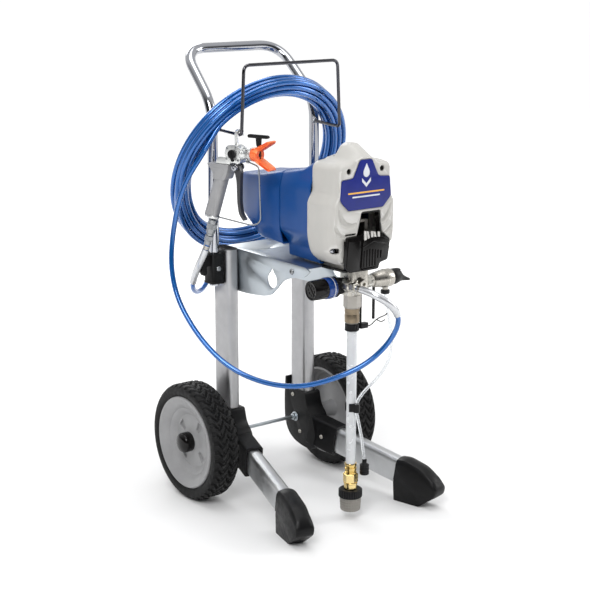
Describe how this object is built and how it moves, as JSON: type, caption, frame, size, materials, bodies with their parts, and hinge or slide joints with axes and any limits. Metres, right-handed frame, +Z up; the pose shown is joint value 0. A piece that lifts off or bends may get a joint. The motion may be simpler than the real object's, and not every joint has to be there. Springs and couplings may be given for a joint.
{
  "type": "airless paint sprayer on a wheeled cart",
  "caption": "Electric airless paint sprayer on an upright two-wheeled cart with a push handle, a coiled paint hose, a hook-on spray gun and a suction tube with an inlet strainer.",
  "frame": {"origin": "on the floor, midway between the widest points from left to right and from the handle to the feet", "axes": "+Z up; -Y is the front, where the pump, its controls and the feet are; +X is the right side as seen from the front, where the prime lever is"},
  "size_m": [0.4716, 0.5482, 0.9622],
  "materials": {
    "aluminium_extrusion": "satin clear anodised",
    "zinc_plate": "bright zinc plate",
    "chrome_tube": "polished chrome plate",
    "tyre_rubber": "matte, moulded tread",
    "wheel_rim": "grey moulded plastic",
    "black_plastic": "fine-textured black",
    "shroud_blue": "smooth blue moulding",
    "cover_grey": "light warm grey moulding",
    "badge_blue": "dark blue label, plain",
    "cast_metal": "as-cast",
    "machined_steel": "machined",
    "plated_fitting": "nickel plate",
    "wound_copper": "varnished windings on a steel shaft",
    "brass_fitting": "machined brass",
    "clear_tube": "translucent natural tube",
    "hose_blue": "smooth blue hose cover",
    "orange_plastic": "orange moulding",
    "gun_silver": "fine cast, light coat",
    "grip_grey": "light grey moulding",
    "trigger_grey": "dark grey moulding",
    "strainer_grey": "grey mesh cup",
    "knob_blue": "black face, blue ring",
    "hub_black": "gloss black dome"
  },
  "bodies": {
    "cart": {"left_upright": "aluminium_extrusion", "right_upright": "aluminium_extrusion", "left_leg": "aluminium_extrusion", "right_leg": "aluminium_extrusion", "left_foot_cap": "black_plastic", "right_foot_cap": "black_plastic", "left_corner_bracket": "black_plastic", "right_corner_bracket": "black_plastic", "axle": "zinc_plate", "pump_tray": "zinc_plate", "left_handle_guide": "black_plastic", "right_handle_guide": "black_plastic", "motor_shroud": "shroud_blue", "front_cover": "cover_grey", "badge_panel": "badge_blue", "cord_gland": "black_plastic", "drive_housing": "cast_metal", "motor_can": "machined_steel", "fluid_manifold": "plated_fitting", "pump_cylinder": "cast_metal", "jam_nut": "black_plastic", "suction_tube": "clear_tube", "inlet_fitting": "brass_fitting", "inlet_strainer": "strainer_grey", "pressure_control": "black_plastic", "prime_valve": "plated_fitting", "outlet_fitting": "plated_fitting", "drain_tube": "clear_tube", "drain_diffuser": "black_plastic", "tube_clip": "black_plastic", "hose_lead": "hose_blue"},
    "handle": {"handle": "chrome_tube", "hose_rack": "chrome_tube", "hose_coil": "hose_blue", "hose_tail": "hose_blue", "gun_body": "gun_silver", "gun_grip": "grip_grey", "trigger_guard": "chrome_tube", "gun_swivel": "plated_fitting"},
    "left_wheel": {"left_tyre": "tyre_rubber", "left_rim": "wheel_rim", "left_hub_cap": "hub_black"},
    "right_wheel": {"right_tyre": "tyre_rubber", "right_rim": "wheel_rim", "right_hub_cap": "hub_black"},
    "rotor": {"rotor_shaft": "wound_copper", "cooling_fan": "black_plastic"},
    "crankshaft": {"reduction_gear": "machined_steel", "crank": "machined_steel"},
    "piston": {"yoke": "machined_steel", "pump_rod": "chrome_tube"},
    "pressure_knob": {"pressure_knob": "knob_blue"},
    "prime_lever": {"prime_lever": "black_plastic"},
    "access_door": {"access_door": "black_plastic"},
    "power_switch": {"power_switch": "black_plastic"},
    "trigger": {"gun_trigger": "trigger_grey"},
    "trigger_lock": {"trigger_lock": "black_plastic"},
    "tip_guard": {"tip_guard": "orange_plastic"},
    "spray_tip": {"spray_tip": "black_plastic"}
  },
  "joints": [
    {"name": "left_wheel_spin", "type": "hinge", "parent": "cart", "child": "left_wheel", "pos_m": [-0.187, 0.1286, 0.127], "axis": [1, 0, 0], "continuous": true},
    {"name": "right_wheel_spin", "type": "hinge", "parent": "cart", "child": "right_wheel", "pos_m": [0.187, 0.1286, 0.127], "axis": [1, 0, 0], "continuous": true},
    {"name": "handle_slide", "type": "slide", "parent": "cart", "child": "handle", "axis": [0, 0, 1], "range_m": [-0.12, 0], "deforming": ["hose_lead"]},
    {"name": "rotor_spin", "type": "hinge", "parent": "cart", "child": "rotor", "pos_m": [0, 0.0086, 0.652], "axis": [0, 1, 0], "continuous": true},
    {"name": "crank_spin", "type": "hinge", "parent": "cart", "child": "crankshaft", "pos_m": [0, -0.1114, 0.6], "axis": [0, 1, 0], "continuous": true},
    {"name": "piston_slide", "type": "slide", "parent": "cart", "child": "piston", "axis": [0, 0, 1], "range_m": [-0.014, 0]},
    {"name": "pressure_knob_turn", "type": "hinge", "parent": "cart", "child": "pressure_knob", "pos_m": [-0.07, -0.1614, 0.5], "axis": [1, 0, 0], "range_deg": [0, 300]},
    {"name": "prime_lever_turn", "type": "hinge", "parent": "cart", "child": "prime_lever", "pos_m": [0.112, -0.1714, 0.503], "axis": [1, 0, 0], "range_deg": [0, 90]},
    {"name": "door_hinge", "type": "hinge", "parent": "cart", "child": "access_door", "pos_m": [-0.057, -0.2144, 0.575], "axis": [0, 0, -1], "range_deg": [0, 110]},
    {"name": "switch_rock", "type": "hinge", "parent": "cart", "child": "power_switch", "pos_m": [0.076, -0.0804, 0.621], "axis": [0, 1, 0], "range_deg": [0, 16]},
    {"name": "trigger_pull", "type": "hinge", "parent": "handle", "child": "trigger", "pos_m": [-0.13916, 0.02826, 0.728], "axis": [0.9511, 0.309, 0], "range_deg": [0, 14], "stiffness_Nm_per_rad": 1.5, "springref_deg": -5.73},
    {"name": "trigger_lock_turn", "type": "hinge", "parent": "handle", "child": "trigger_lock", "pos_m": [-0.15402, 0.02869, 0.755], "axis": [0.9511, 0.309, 0], "range_deg": [0, 90]},
    {"name": "tip_guard_turn", "type": "hinge", "parent": "handle", "child": "tip_guard", "pos_m": [-0.12433, -0.01739, 0.757], "axis": [0.309, -0.9511, 0], "range_deg": [0, 90]},
    {"name": "spray_tip_turn", "type": "hinge", "parent": "tip_guard", "child": "spray_tip", "pos_m": [-0.12279, -0.02215, 0.757], "axis": [0, 0, 1], "range_deg": [0, 180]}
  ],
  "couplings": [
    {"joint": "rotor_spin", "follows": "crank_spin", "ratio": -6}
  ]
}
